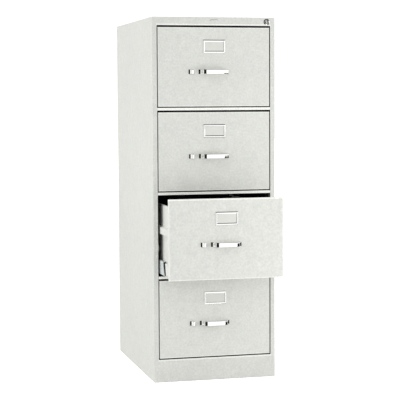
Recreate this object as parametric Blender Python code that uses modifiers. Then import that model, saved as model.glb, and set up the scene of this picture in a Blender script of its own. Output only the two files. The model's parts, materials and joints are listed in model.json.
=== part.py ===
"""Four-drawer vertical filing cabinet of legal width, in metres, +Z up.

The origin is on the floor, at the centre of the case's footprint. The drawers open towards -Y, and
"left" and "right" are as seen by someone standing in front of them. Drawers are numbered from the top.
The third drawer is part open, and the others are shut.
"""

import math

import bmesh
import bpy
from mathutils import Matrix, Vector

# Driving dimensions of the case
CASE_WIDTH = 0.4572
CASE_DEPTH = 0.6731
CASE_HEIGHT = 1.3208
DRAWERS = 4
HEADER = 0.0311
BASE = 0.0849
RAIL = 0.0116
STILE = 0.0177
OPENING = (CASE_HEIGHT - HEADER - BASE - (DRAWERS - 1) * RAIL) / DRAWERS
PITCH = OPENING + RAIL

# Sheet metal
SHEET = 0.0010
UPRIGHT_SHEET = 0.0012
SLIDE_SHEET = 0.0013
BEND = 0.0016
BEND_STEPS = 3
FIT = 0.0003
UNION_OVERLAP = 0.0004

# Where things are
FRONT = -CASE_DEPTH / 2
BACK = CASE_DEPTH / 2
SIDE = CASE_WIDTH / 2
OPENING_HALF = SIDE - STILE
INNER_HALF = SIDE - SHEET - FIT
STILE_RETURN = 0.012
REAR_FLANGE = 0.020
RAIL_DEPTH = 0.025
HEADER_RETURN = 0.015
PLINTH_FOOT = 0.025
BRACE_HALF = 0.040
BRACE_HEIGHT = 0.025

# Uprights, which carry the slides and the latch strikes
UPRIGHT_DEPTH = INNER_HALF - OPENING_HALF - 0.0032
UPRIGHT_WIDTH = 0.040
FRONT_UPRIGHT = FRONT + 0.034
REAR_UPRIGHT = BACK - 0.090
UPRIGHT_FOOT = 0.001
UPRIGHT_TOP = CASE_HEIGHT - SHEET - 0.002

# Telescopic slides. Heights are above the bottom of the drawer's opening.
CASE_SLIDE_FACE = OPENING_HALF + 0.0029
CASE_SLIDE_LIP = OPENING_HALF - 0.0105
CASE_SLIDE_Z = (0.0062, 0.0608)
CASE_SLIDE_Y = (FRONT + 0.024, BACK - 0.045)
MID_SLIDE_FACE = OPENING_HALF - 0.0056
MID_SLIDE_LIP = OPENING_HALF - 0.0147
MID_SLIDE_Z = (0.0090, 0.0580)
MID_SLIDE_FRONT = 0.008
MID_SLIDE_SLANT = 0.026
MID_SLIDE_LENGTH = 0.560
DRAWER_SLIDE_FACE = OPENING_HALF - 0.0085
DRAWER_SLIDE_Z = (0.0120, 0.0550)
DRAWER_SLIDE_LENGTH = 0.590

# Drawers, measured from the front plane and from the bottom of the opening
OPEN_DRAWER = 3
OPEN_BY = 0.166
FRONT_SIDE_GAP = 0.0030
FRONT_TOP_GAP = 0.0040
FRONT_BOTTOM_GAP = 0.0028
FRONT_DEPTH = 0.017
FRONT_HALF = OPENING_HALF - FRONT_SIDE_GAP
FRONT_Z = (FRONT_BOTTOM_GAP, OPENING - FRONT_TOP_GAP)
BODY_HALF = OPENING_HALF - 0.0179
BODY_Y = (FRONT_DEPTH + FIT, 0.637)
BODY_FLOOR = 0.008
BODY_TOP = FRONT_Z[1] - 0.0307
BODY_BACK_HEIGHT = 0.205
HEM_WIDTH = 0.0084
HEM_DROP = 0.008
RIB_Z = (0.152, 0.181)
RIB_FACE = OPENING_HALF - 0.0072
RIB_SLOPE = 0.002

# Handle, thumb latch and label holder, on the drawer's face
HANDLE_Z = FRONT_Z[1] - 0.161
LABEL_Z = FRONT_Z[1] - 0.070
PULL_X = -0.0022
PULL_REACH = 0.029
PULL_TIP = 0.0010
PULL_OUTSIDE = ((0.0557, PULL_TIP), (0.0467, 0.0038), (0.0439, 0.0242), (0.0317, 0.0281), (0.0170, 0.0288))
PULL_INSIDE = ((0.0425, 0.0), (0.0404, 0.0212), (0.0310, 0.0245), (0.0170, 0.0252))
PULL_STRAP = 0.0036
PULL_HEIGHT = 0.0165
LABEL_SIZE = (0.083, 0.0470)
LABEL_WINDOW = (0.068, 0.0320)
LABEL_POCKET = (0.076, 0.0395)
LABEL_DEPTH = 0.0026
LABEL_LIP = 0.0012
THUMB_X = (-0.0948, -0.0780)
THUMB_REACH = 0.012
THUMB_STRAP = 0.0028
THUMB_HEIGHT = 0.0160
THUMB_STEM_X = (-0.0875, -0.0815)
THUMB_STEM_HALF = 0.0035
LATCH_TRAVEL = 0.005

# Latch bolt, inside the drawer's face, and the strike that it hooks
BOLT_SHEET = 0.0015
BOLT_Y = 0.0060
BOLT_HALF = 0.0055
LATCH_DROP = 0.0255
HOOK_X = (0.0110 - OPENING_HALF, 0.0125 - OPENING_HALF)
HOOK_REACH = 0.032
BEAK_TIP = 0.0080 - OPENING_HALF
BEAK_Y = (0.0280, 0.0320)
STRIKE_FACE = OPENING_HALF - 0.0075
STRIKE_Y = (0.0190, 0.0270)
STRIKE_HALF = 0.0118

# Follower plate
FOLLOWER_HALF = 0.170
FOLLOWER_Y = 0.566
FOLLOWER_FOOT = 0.060
FOLLOWER_HEIGHT = 0.195
FOLLOWER_LEAN = 0.012
FOLLOWER_LIFT = 0.0006

# Lock
LOCK_X = 0.198
LOCK_Z = CASE_HEIGHT - 0.0162
LOCK_BEZEL = 0.0115
LOCK_BARREL = 0.0095
LOCK_HOLE = 0.0099
LOCK_CUP = 0.0088
LOCK_PLUG = 0.0062
LOCK_REAR = 0.0162
CAM_ARM = 0.0090
CAM_PIN = 0.0020
CAM_START = math.radians(45)
LOCK_BAR_X = (OPENING_HALF + 0.0013, OPENING_HALF + 0.0113)
LOCK_BAR_Y = (0.0185, 0.0205)
LOCK_LUG_Z = (0.100, 0.112)
LOCK_LUG_Y = (0.024, 0.027)
LOCK_LUG_FACE = FRONT_HALF - 0.0002
LOCK_TAB_Z = (0.116, 0.122)
LOCK_TAB_TIP = LOCK_LUG_FACE - 0.0016

PAINT = ("light_grey_paint", (0.69, 0.70, 0.66), 0.45, 0.0)
PRIMER = ("charcoal_primer", (0.035, 0.036, 0.038), 0.7, 0.0)
ZINC = ("zinc_plated_steel", (0.60, 0.64, 0.65), 0.35, 1.0)
CHROME = ("bright_chrome", (0.88, 0.88, 0.89), 0.08, 1.0)


def clear_scene():
    """Removes what the file holds already, and makes the two collections."""
    for old in list(bpy.data.objects):
        bpy.data.objects.remove(old)
    made = []
    for name in ("filing_cabinet", "cutters"):
        group = bpy.data.collections.new(name)
        bpy.context.scene.collection.children.link(group)
        made.append(group)
    return made


def material(look):
    """The Principled material of a finish, made once."""
    name, colour, roughness, metallic = look
    found = bpy.data.materials.get(name)
    if found:
        return found
    made = bpy.data.materials.new(name)
    made.use_nodes = True
    shader = made.node_tree.nodes["Principled BSDF"]
    shader.inputs["Base Color"].default_value = (*colour, 1.0)
    shader.inputs["Roughness"].default_value = roughness
    shader.inputs["Metallic"].default_value = metallic
    made.diffuse_color = (*colour, 1.0)
    return made


def new_object(name, mesh):
    """A loose object, kept with the cutters until it is placed."""
    made = bpy.data.objects.new(name, mesh)
    CUTTERS.objects.link(made)
    made.hide_render = True
    made.display_type = "WIRE"
    return made


def mesh_from(name, bm):
    """Turns a bmesh into a mesh."""
    mesh = bpy.data.meshes.new(name)
    bm.to_mesh(mesh)
    bm.free()
    return mesh


def box(low, high, bevel=0.0, segments=2):
    """A block between two corners, with its edges rounded if bevel is given."""
    bm = bmesh.new()
    low, high = Vector(low), Vector(high)
    size = high - low
    place = Matrix.Translation((low + high) / 2) @ Matrix.Diagonal((*size, 1.0))
    bmesh.ops.create_cube(bm, size=1.0, matrix=place)
    if bevel:
        bmesh.ops.bevel(bm, geom=bm.edges, offset=bevel, segments=segments, profile=0.5, affect="EDGES")
    return new_object("box", mesh_from("box", bm))


def cylinder(centre, radius, y_low, y_high, sides=32):
    """A round bar along Y. centre is its x and z."""
    bm = bmesh.new()
    turn = Matrix.Rotation(math.radians(90), 4, "X")
    place = Matrix.Translation((centre[0], (y_low + y_high) / 2, centre[1])) @ turn
    bmesh.ops.create_cone(
        bm, cap_ends=True, segments=sides, radius1=radius, radius2=radius, depth=y_high - y_low, matrix=place
    )
    return new_object("cylinder", mesh_from("cylinder", bm))


def rounded(points, radius=BEND, steps=BEND_STEPS):
    """The polyline with an arc of this radius in place of each inner corner."""
    points = [Vector(p) for p in points]
    made = [points[0]]
    for before, corner, after in zip(points, points[1:], points[2:]):
        to_before = (before - corner).normalized()
        to_after = (after - corner).normalized()
        half = to_before.angle(to_after) / 2
        reach = radius / math.tan(half)
        centre = corner + (to_before + to_after).normalized() * (radius / math.sin(half))
        start = corner + to_before * reach - centre
        sweep = math.pi - 2 * half
        turn = math.copysign(sweep, to_after.cross(to_before))
        for i in range(steps + 1):
            made.append(centre + Matrix.Rotation(turn * i / steps, 2) @ start)
    made.append(points[-1])
    return made


PLANES = {
    "plan": lambda u, v, w: (u, v, w),
    "side": lambda u, v, w: (w, u, v),
    "front": lambda u, v, w: (u, w, v),
}


def folded_sheet(path, inside, plane, start, end, thickness=SHEET):
    """A folded sheet. path is its outer skin in a plane, and inside a point on the hollow side of its
    longest run. It is drawn out from start to end along the axis that the plane leaves."""
    to_world = PLANES[plane]
    bm = bmesh.new()
    near = [bm.verts.new(to_world(p[0], p[1], start)) for p in path]
    far = [bm.verts.new(to_world(p[0], p[1], end)) for p in path]
    faces = [bm.faces.new((a, b, d, c)) for a, b, c, d in zip(near, near[1:], far, far[1:])]
    bm.normal_update()
    longest = max(faces, key=lambda face: face.calc_area())
    towards = Vector(to_world(inside[0], inside[1], (start + end) / 2)) - longest.calc_center_median()
    if longest.normal.dot(towards) > 0:
        bmesh.ops.reverse_faces(bm, faces=bm.faces)
    made = new_object("sheet", mesh_from("sheet", bm))
    shell = made.modifiers.new("thickness", "SOLIDIFY")
    shell.thickness = thickness
    shell.offset = -1
    shell.use_even_offset = True
    return made


def combine(target, others, operation):
    """Adds a Boolean modifier to target for each of the others."""
    for other in others:
        step = target.modifiers.new(operation.lower(), "BOOLEAN")
        step.operation = operation
        step.solver = "EXACT"
        step.object = other
    return target


def cut(target, *cutters):
    return combine(target, cutters, "DIFFERENCE")


def join(target, *others):
    return combine(target, others, "UNION")


def solid(source):
    """The finished mesh of an object with its modifiers applied, shaded smooth across its bends."""
    bpy.context.view_layer.update()
    graph = bpy.context.evaluated_depsgraph_get()
    mesh = bpy.data.meshes.new_from_object(source.evaluated_get(graph))
    bm = bmesh.new()
    bm.from_mesh(mesh)
    bmesh.ops.remove_doubles(bm, verts=bm.verts, dist=1e-6)
    bm.to_mesh(mesh)
    bm.free()
    mesh.shade_smooth()
    mesh.set_sharp_from_angle(angle=math.radians(35))
    return mesh


def place(name, mesh, parent, look):
    """Puts a finished mesh in the cabinet as a named piece."""
    shown = mesh.copy()
    shown.name = name
    shown.materials.clear()
    shown.materials.append(material(look))
    piece = bpy.data.objects.new(name, shown)
    CABINET.objects.link(piece)
    piece.parent = parent
    return piece


def body_empty(name, location=(0.0, 0.0, 0.0), parent=None):
    """The empty that one moving body hangs from."""
    empty = bpy.data.objects.new(name + "_body", None)
    empty.empty_display_size = 0.05
    empty.location = location
    empty.parent = parent
    CABINET.objects.link(empty)
    return empty


def opening_floor(number):
    """Height of the bottom edge of a drawer's opening. Drawer 1 is the top one."""
    return BASE + (DRAWERS - number) * PITCH


def side_panel(side):
    """Side sheet with the front stile and the rear flange folded from it."""
    path = [
        (side * (SIDE - REAR_FLANGE), BACK),
        (side * SIDE, BACK),
        (side * SIDE, FRONT),
        (side * OPENING_HALF, FRONT),
        (side * OPENING_HALF, FRONT + STILE_RETURN),
    ]
    sheet = folded_sheet(rounded(path), (0, 0), "plan", 0.0, CASE_HEIGHT)
    edges = sorted((side * (OPENING_HALF - 0.001), side * (OPENING_HALF + 0.006)))
    clear_of_top = box(
        (edges[0], FRONT + SHEET, CASE_HEIGHT - SHEET - FIT),
        (edges[1], FRONT + 0.02, CASE_HEIGHT + 0.01),
    )
    return solid(cut(sheet, clear_of_top))


def back_panel():
    """Rear sheet, lapped behind the side flanges and set out flush between them."""
    lap = BACK - SHEET - FIT
    half = SIDE - REAR_FLANGE - 0.001
    slope = 0.003
    path = [
        (-INNER_HALF, lap),
        (-half, lap),
        (-half + slope, BACK),
        (half - slope, BACK),
        (half, lap),
        (INNER_HALF, lap),
    ]
    return solid(folded_sheet(rounded(path, 0.0012, 2), (0, 0), "plan", 0.0, CASE_HEIGHT - SHEET - FIT))


def top_panel():
    """Top sheet with the header folded down at the front, notched round the stiles and holed for the lock."""
    path = [
        (BACK, CASE_HEIGHT),
        (FRONT, CASE_HEIGHT),
        (FRONT, CASE_HEIGHT - HEADER),
        (FRONT + HEADER_RETURN, CASE_HEIGHT - HEADER),
    ]
    sheet = folded_sheet(rounded(path), (0, 0), "side", -INNER_HALF, INNER_HALF)
    behind_stile = FRONT + SHEET + FIT
    half = OPENING_HALF - FIT
    cutters = [cylinder((LOCK_X, LOCK_Z), LOCK_HOLE, FRONT - 0.01, FRONT + 0.01)]
    for side in (-1, 1):
        edges = sorted((side * half, side * (SIDE + 0.01)))
        cutters.append(box((edges[0], FRONT - 0.01, 1.2), (edges[1], behind_stile, CASE_HEIGHT + 0.01)))
        below = CASE_HEIGHT - SHEET - FIT
        cutters.append(box((edges[0], FRONT - 0.02, 1.21), (edges[1], FRONT + 0.03, below)))
    rear = BACK - SHEET - FIT
    cutters.append(box((-SIDE, rear, CASE_HEIGHT - 0.01), (SIDE, BACK + 0.01, CASE_HEIGHT + 0.01)))
    return solid(cut(sheet, *cutters))


def base_plinth():
    """Front kick plate, with a foot flange that lies on the floor."""
    path = [
        (FRONT + HEADER_RETURN, BASE),
        (FRONT, BASE),
        (FRONT, 0.0),
        (FRONT + PLINTH_FOOT, 0.0),
    ]
    half = OPENING_HALF - FIT
    return solid(folded_sheet(rounded(path), (FRONT + 0.01, BASE / 2), "side", -half, half))


def base_brace():
    """Channel across the bottom that ties the two sides together."""
    path = [
        (-BRACE_HALF, BRACE_HEIGHT),
        (-BRACE_HALF, 0.0),
        (BRACE_HALF, 0.0),
        (BRACE_HALF, BRACE_HEIGHT),
    ]
    return solid(folded_sheet(rounded(path), (0, 0.01), "side", -INNER_HALF, INNER_HALF))


def cross_rail():
    """Thin channel between two drawers. Its top is at the opening above it."""
    path = [
        (FRONT + RAIL_DEPTH, 0.0),
        (FRONT, 0.0),
        (FRONT, -RAIL),
        (FRONT + RAIL_DEPTH, -RAIL),
    ]
    half = OPENING_HALF - FIT
    return solid(folded_sheet(rounded(path), (FRONT + 0.012, -RAIL / 2), "side", -half, half))


def upright_sheet(side, y_front):
    """Vertical channel screwed to the side sheet."""
    face = INNER_HALF - UPRIGHT_DEPTH
    path = [
        (side * INNER_HALF, y_front),
        (side * face, y_front),
        (side * face, y_front + UPRIGHT_WIDTH),
        (side * INNER_HALF, y_front + UPRIGHT_WIDTH),
    ]
    middle = (side * SIDE, y_front + UPRIGHT_WIDTH / 2)
    return folded_sheet(rounded(path), middle, "plan", UPRIGHT_FOOT, UPRIGHT_TOP, UPRIGHT_SHEET)


def front_left_upright():
    """The upright that also carries a latch strike for each drawer."""
    face = INNER_HALF - UPRIGHT_DEPTH
    root = face + UPRIGHT_SHEET / 2
    neck = STRIKE_FACE + 0.0075
    strikes = []
    for number in range(1, DRAWERS + 1):
        z = opening_floor(number) + HANDLE_Z - LATCH_DROP
        arm = box(
            (-root, FRONT + STRIKE_Y[0], z - STRIKE_HALF + 0.001),
            (-neck, FRONT_UPRIGHT + 0.004, z + STRIKE_HALF - 0.001),
        )
        nose = box(
            (-neck - 0.0009, FRONT + STRIKE_Y[0] + 0.0002, z - STRIKE_HALF),
            (-STRIKE_FACE, FRONT + STRIKE_Y[1], z + STRIKE_HALF),
            0.0030,
            2,
        )
        strikes += [arm, nose]
    return solid(join(upright_sheet(-1, FRONT_UPRIGHT), *strikes))


def channel(side, face, lip, z_range, y_range):
    """Slide member: a channel that opens towards the drawer."""
    path = [
        (side * lip, z_range[1]),
        (side * face, z_range[1]),
        (side * face, z_range[0]),
        (side * lip, z_range[0]),
    ]
    inside = (side * lip, sum(z_range) / 2)
    return folded_sheet(rounded(path, 0.002), inside, "front", *y_range, SLIDE_SHEET)


def case_slide(side):
    """Outer slide member, fixed to the uprights."""
    return solid(channel(side, CASE_SLIDE_FACE, CASE_SLIDE_LIP, CASE_SLIDE_Z, CASE_SLIDE_Y))


def mid_slide(side):
    """Intermediate slide member, with its front end cut on the slant."""
    y_range = (MID_SLIDE_FRONT, MID_SLIDE_FRONT + MID_SLIDE_LENGTH)
    made = channel(side, MID_SLIDE_FACE, MID_SLIDE_LIP, MID_SLIDE_Z, y_range)
    height = MID_SLIDE_Z[1] - MID_SLIDE_Z[0]
    for vertex in made.data.vertices:
        if vertex.co.y < y_range[0] + 1e-6:
            vertex.co.y += MID_SLIDE_SLANT * (vertex.co.z - MID_SLIDE_Z[0]) / height
    return solid(made)


def drawer_front():
    """Pan-shaped drawer face with rounded edges, open at the back."""
    bm = bmesh.new()
    size = Vector((2 * FRONT_HALF, FRONT_DEPTH, FRONT_Z[1] - FRONT_Z[0]))
    centre = Vector((0, FRONT_DEPTH / 2, sum(FRONT_Z) / 2))
    bmesh.ops.create_cube(bm, size=1.0, matrix=Matrix.Translation(centre) @ Matrix.Diagonal((*size, 1.0)))
    back = [face for face in bm.faces if face.normal.y > 0.9]
    bmesh.ops.delete(bm, geom=back, context="FACES_ONLY")
    creases = [edge for edge in bm.edges if len(edge.link_faces) == 2]
    bmesh.ops.bevel(bm, geom=creases, offset=BEND, segments=BEND_STEPS, profile=0.5, affect="EDGES")
    pan = new_object("pan", mesh_from("pan", bm))
    shell = pan.modifiers.new("thickness", "SOLIDIFY")
    shell.thickness = SHEET
    shell.offset = -1
    shell.use_even_offset = True
    slot_half = THUMB_STEM_HALF + 0.001
    slot = box(
        (THUMB_STEM_X[0] - 0.001, -0.004, HANDLE_Z - slot_half),
        (THUMB_STEM_X[1] + LATCH_TRAVEL + 0.001, 0.004, HANDLE_Z + slot_half),
    )
    return solid(cut(pan, slot))


def drawer_body():
    """Drawer tray: hemmed sides with a stiffening rib, floor, ends, and its own slide members."""
    lip = BODY_HALF - HEM_WIDTH
    left = [
        (-lip, BODY_TOP - HEM_DROP),
        (-lip, BODY_TOP),
        (-BODY_HALF, BODY_TOP),
        (-BODY_HALF, RIB_Z[1]),
        (-RIB_FACE, RIB_Z[1] - RIB_SLOPE),
        (-RIB_FACE, RIB_Z[0] + RIB_SLOPE),
        (-BODY_HALF, RIB_Z[0]),
        (-BODY_HALF, BODY_FLOOR),
    ]
    path = left + [(-x, z) for x, z in reversed(left)]
    tray = folded_sheet(rounded(path, BEND, 2), (0, BODY_TOP), "front", *BODY_Y)
    half = BODY_HALF - SHEET + UNION_OVERLAP
    floor = BODY_FLOOR + UNION_OVERLAP
    front = BODY_Y[0] + UNION_OVERLAP
    back = BODY_Y[1] - UNION_OVERLAP
    ends = [
        box((-half, front, floor), (half, front + SHEET, BODY_TOP - UNION_OVERLAP)),
        box((-half, back - SHEET, floor), (half, back, BODY_BACK_HEIGHT)),
    ]
    members = []
    for side in (-1, 1):
        start = BODY_Y[0] + 0.003
        members.append(
            channel(side, DRAWER_SLIDE_FACE, half, DRAWER_SLIDE_Z, (start, start + DRAWER_SLIDE_LENGTH))
        )
    lug = box(
        (half, LOCK_LUG_Y[0], LOCK_LUG_Z[0]),
        (LOCK_LUG_FACE, LOCK_LUG_Y[1], LOCK_LUG_Z[1]),
    )
    return solid(join(tray, *ends, *members, lug))


def bow_line(corners, reach):
    """One skin of the bow in plan, from its left foot to its right. corners lists half the length and the
    reach at each bend, from a foot to the middle, and the tight bends are rounded."""
    bends = len(corners) - 1
    left = rounded([(-half, -out) for half, out in corners[:bends]], 0.0035, 4)
    left += [Vector((-half, -out)) for half, out in corners[bends:]]
    right = [Vector((-point.x, point.y)) for point in reversed(left)]
    return [(PULL_X + point[0], point[1]) for point in left + [Vector((0.0, -reach))] + right]


def pull():
    """Bow handle, a strap bent to a flat-fronted bow on flared feet, with its edges eased."""
    outside = bow_line(PULL_OUTSIDE, PULL_REACH)
    inside = bow_line(PULL_INSIDE, PULL_REACH - PULL_STRAP)
    feet = [(PULL_X + side * PULL_OUTSIDE[0][0], 0.0) for side in (-1, 1)]
    return extruded_strap([feet[0]] + outside + [feet[1]] + inside[::-1], PULL_HEIGHT, 0.0010)


def extruded_strap(outline, height, ease):
    """A plan outline drawn up to this height about the handle's line, with its edges eased."""
    curve = bpy.data.curves.new("outline", "CURVE")
    curve.dimensions = "2D"
    curve.fill_mode = "BOTH"
    curve.extrude = height / 2
    spline = curve.splines.new("POLY")
    spline.points.add(len(outline) - 1)
    for point, (x, y) in zip(spline.points, outline):
        point.co = (x, y, 0.0, 1.0)
    spline.use_cyclic_u = True
    flat = new_object("strap", curve)
    mesh = solid(flat)
    bpy.data.objects.remove(flat)
    made = new_object("strap", mesh)
    mesh.transform(Matrix.Translation((0.0, -FIT, HANDLE_Z)))
    edge = made.modifiers.new("ease", "BEVEL")
    edge.width = ease
    edge.segments = 2
    edge.angle_limit = math.radians(60)
    return made


def label_holder():
    """Card frame: a lipped window with a pocket behind it that is open at the top."""
    depth = -FIT - LABEL_DEPTH
    half_x, half_z = (size / 2 for size in LABEL_SIZE)
    frame = box((-half_x, depth, LABEL_Z - half_z), (half_x, -FIT, LABEL_Z + half_z), 0.0007, 2)
    window_x, window_z = (size / 2 for size in LABEL_WINDOW)
    window = box(
        (-window_x, depth - 0.01, LABEL_Z - window_z),
        (window_x, 0.01, LABEL_Z + window_z),
    )
    pocket_x, pocket_z = (size / 2 for size in LABEL_POCKET)
    pocket = box(
        (-pocket_x, depth + LABEL_LIP, LABEL_Z - pocket_z),
        (pocket_x, 0.011, LABEL_Z + half_z + 0.01),
    )
    return solid(cut(frame, window, pocket))


def thumb_latch():
    """Chrome thumb piece: a short hooked strap on a stem that runs in a slot in the drawer's face."""
    left, right = THUMB_X
    slope = 0.007
    outer = [(left, 0.0), (left + 0.0012, -0.006), (left + slope, -THUMB_REACH), (right, -THUMB_REACH)]
    inner = [
        (right, -THUMB_REACH + THUMB_STRAP),
        (left + slope + 0.0012, -THUMB_REACH + THUMB_STRAP),
        (left + 0.0012 + THUMB_STRAP, -0.0052),
        (left + THUMB_STRAP, 0.0),
    ]
    bow = rounded(outer, 0.004, 4) + rounded(inner, 0.0015, 3)
    strap = extruded_strap(bow, THUMB_HEIGHT, 0.0008)
    strap = new_object("thumb", solid(strap))
    stem = box(
        (THUMB_STEM_X[0], -THUMB_REACH + THUMB_STRAP / 2, HANDLE_Z - THUMB_STEM_HALF),
        (THUMB_STEM_X[1], BOLT_Y - FIT, HANDLE_Z + THUMB_STEM_HALF),
    )
    return solid(join(strap, stem))


def latch_bolt():
    """Flat bolt inside the drawer's face, stepped down to a hook that reaches back past the strike."""
    hook_z = HANDLE_Z - LATCH_DROP
    back = BOLT_Y + BOLT_SHEET
    bar = box(
        (-0.165, BOLT_Y, HANDLE_Z - BOLT_HALF),
        (THUMB_STEM_X[1] + 0.004, back, HANDLE_Z + BOLT_HALF),
    )
    step = box(
        (-0.175, BOLT_Y - UNION_OVERLAP, hook_z - BOLT_HALF + 0.001),
        (-0.163, back + UNION_OVERLAP, HANDLE_Z + BOLT_HALF - 0.001),
    )
    tongue = box((HOOK_X[0] + 0.0002, BOLT_Y, hook_z - BOLT_HALF), (-0.173, back, hook_z + BOLT_HALF))
    hook = box(
        (HOOK_X[0], BOLT_Y - UNION_OVERLAP, hook_z - BOLT_HALF + UNION_OVERLAP),
        (HOOK_X[1], HOOK_REACH, hook_z + BOLT_HALF - UNION_OVERLAP),
    )
    beak = box(
        (BEAK_TIP, BEAK_Y[0], hook_z - BOLT_HALF + 0.001),
        (HOOK_X[1] - UNION_OVERLAP, BEAK_Y[1] - UNION_OVERLAP, hook_z + BOLT_HALF - 0.001),
    )
    return solid(join(bar, step, tongue, hook, beak))


def follower():
    """Follower plate: a leaning sheet on a long foot, with a hemmed top."""
    floor = BODY_FLOOR + SHEET + FOLLOWER_LIFT
    top = floor + FOLLOWER_HEIGHT
    path = [
        (FOLLOWER_Y + FOLLOWER_FOOT, floor),
        (FOLLOWER_Y, floor),
        (FOLLOWER_Y + FOLLOWER_LEAN, top),
        (FOLLOWER_Y + FOLLOWER_LEAN + 0.010, top),
        (FOLLOWER_Y + FOLLOWER_LEAN + 0.010, top - 0.012),
    ]
    inside = (FOLLOWER_Y + 0.03, floor + 0.05)
    return solid(folded_sheet(rounded(path), inside, "side", -FOLLOWER_HALF, FOLLOWER_HALF))


def turned(profile, steps=40):
    """A turned piece about the lock's axis. profile lists its distance behind the front and its radius."""
    bm = bmesh.new()
    points = [bm.verts.new((radius, 0.0, -depth)) for depth, radius in profile]
    loop = points + [points[0]]
    for a, b in zip(loop, loop[1:]):
        bm.edges.new((a, b))
    made = new_object("turned", mesh_from("turned", bm))
    screw = made.modifiers.new("turn", "SCREW")
    screw.axis = "Z"
    screw.steps = steps
    screw.render_steps = steps
    screw.use_merge_vertices = True
    screw.merge_threshold = 0.00001
    mesh = solid(made)
    bpy.data.objects.remove(made)
    mesh.transform(Matrix.Translation((LOCK_X, FRONT, LOCK_Z)) @ Matrix.Rotation(math.radians(90), 4, "X"))
    bm = bmesh.new()
    bm.from_mesh(mesh)
    bmesh.ops.recalc_face_normals(bm, faces=bm.faces)
    bm.to_mesh(mesh)
    bm.free()
    return mesh


def lock_housing():
    """Lock barrel with a dished bezel in front of the header."""
    bore = LOCK_PLUG + FIT / 2
    profile = [
        (-0.0030, LOCK_BEZEL - 0.0018),
        (-0.0024, LOCK_BEZEL - 0.0005),
        (-0.0012, LOCK_BEZEL),
        (-FIT, LOCK_BEZEL),
        (-FIT, LOCK_BARREL),
        (LOCK_REAR, LOCK_BARREL),
        (LOCK_REAR, bore),
        (0.0022, bore),
        (0.0022, LOCK_CUP - 0.0012),
        (-0.0016, LOCK_CUP),
        (-0.0028, LOCK_CUP + 0.0006),
    ]
    return turned(profile)


def lock_plug():
    """Key plug with its keyway, and the cam arm and pin on its tail."""
    axis = (LOCK_X, LOCK_Z)
    plug = cylinder(axis, LOCK_PLUG, FRONT + 0.0006, FRONT + LOCK_REAR + 0.0004, 28)
    keyway = box((LOCK_X - 0.0006, FRONT - 0.002, LOCK_Z - 0.0036), (LOCK_X + 0.0006, FRONT + 0.006, LOCK_Z + 0.0036))
    cam_front = FRONT + LOCK_REAR + FIT
    cam_back = cam_front + 0.0012
    arm = box((-0.0005, cam_front, -0.0032), (CAM_ARM + 0.0028, cam_back, 0.0032), 0.0004, 1)
    turn = Matrix.Translation((LOCK_X, 0, LOCK_Z)) @ Matrix.Rotation(-CAM_START, 4, "Y")
    arm.data.transform(turn)
    hub = cylinder(axis, LOCK_PLUG - 0.0008, FRONT + LOCK_REAR - 0.001, cam_back + 0.0002, 28)
    pin_x = LOCK_X + CAM_ARM * math.cos(CAM_START)
    pin_z = LOCK_Z + CAM_ARM * math.sin(CAM_START)
    pin = cylinder((pin_x, pin_z), CAM_PIN, cam_front + 0.0004, FRONT + LOCK_BAR_Y[1] + 0.001, 16)
    return solid(cut(join(plug, hub, arm, pin), keyway))


def lock_bar():
    """Vertical bar behind the right stile, with a tab above each drawer's lug and a slotted foot at the cam."""
    y_front = FRONT + LOCK_BAR_Y[0]
    y_back = FRONT + LOCK_BAR_Y[1]
    slot_z = LOCK_Z + CAM_ARM * math.sin(CAM_START)
    low = opening_floor(DRAWERS) + LOCK_TAB_Z[0] - 0.010
    bar = box((LOCK_BAR_X[0], y_front, low), (LOCK_BAR_X[1], y_back, slot_z + 0.0045))
    inner = LOCK_BAR_X[0] + UNION_OVERLAP
    foot = box(
        (LOCK_X + 0.0015, y_front + 0.0001, slot_z - 0.0050),
        (inner, y_back - 0.0001, slot_z + 0.0044),
    )
    tabs = []
    for number in range(1, DRAWERS + 1):
        z = opening_floor(number)
        tabs.append(
            box(
                (LOCK_TAB_TIP, y_front + 0.0001, z + LOCK_TAB_Z[0]),
                (inner, y_back - 0.0001, z + LOCK_TAB_Z[1]),
            )
        )
    play = 0.0005
    slot = box(
        (LOCK_X + CAM_ARM * math.cos(CAM_START) - CAM_PIN - play, y_front - 0.01, slot_z - CAM_PIN - play),
        (LOCK_X + CAM_ARM + CAM_PIN + play, y_back + 0.01, slot_z + CAM_PIN + play),
    )
    return solid(cut(join(bar, foot, *tabs), slot))


def build_case():
    """The welded case and everything fixed to it."""
    case = body_empty("case")
    for word, side in (("left", -1), ("right", 1)):
        place("side_panel_" + word, side_panel(side), case, PAINT)
    place("back_panel", back_panel(), case, PAINT)
    place("top_panel", top_panel(), case, PAINT)
    place("base_plinth", base_plinth(), case, PAINT)
    place("base_brace", base_brace(), case, PRIMER)
    rail = cross_rail()
    for number in range(1, DRAWERS):
        place(f"cross_rail_{number}", rail, case, PAINT).location.z = opening_floor(number)
    place("front_upright_left", front_left_upright(), case, PRIMER)
    place("front_upright_right", solid(upright_sheet(1, FRONT_UPRIGHT)), case, PRIMER)
    place("rear_upright_left", solid(upright_sheet(-1, REAR_UPRIGHT)), case, PRIMER)
    place("rear_upright_right", solid(upright_sheet(1, REAR_UPRIGHT)), case, PRIMER)
    for word, side in (("left", -1), ("right", 1)):
        mesh = case_slide(side)
        for number in range(1, DRAWERS + 1):
            place(f"case_slide_{word}_{number}", mesh, case, ZINC).location.z = opening_floor(number)
    place("lock_housing", lock_housing(), case, CHROME)


def build_lock():
    """The turning key plug and the bar that it lowers."""
    axis = Vector((LOCK_X, FRONT, LOCK_Z))
    plug_body = body_empty("lock_plug", axis)
    plug = place("lock_plug", lock_plug(), plug_body, CHROME)
    plug.data.transform(Matrix.Translation(-axis))
    place("lock_bar", lock_bar(), body_empty("lock_bar"), ZINC)


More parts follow.
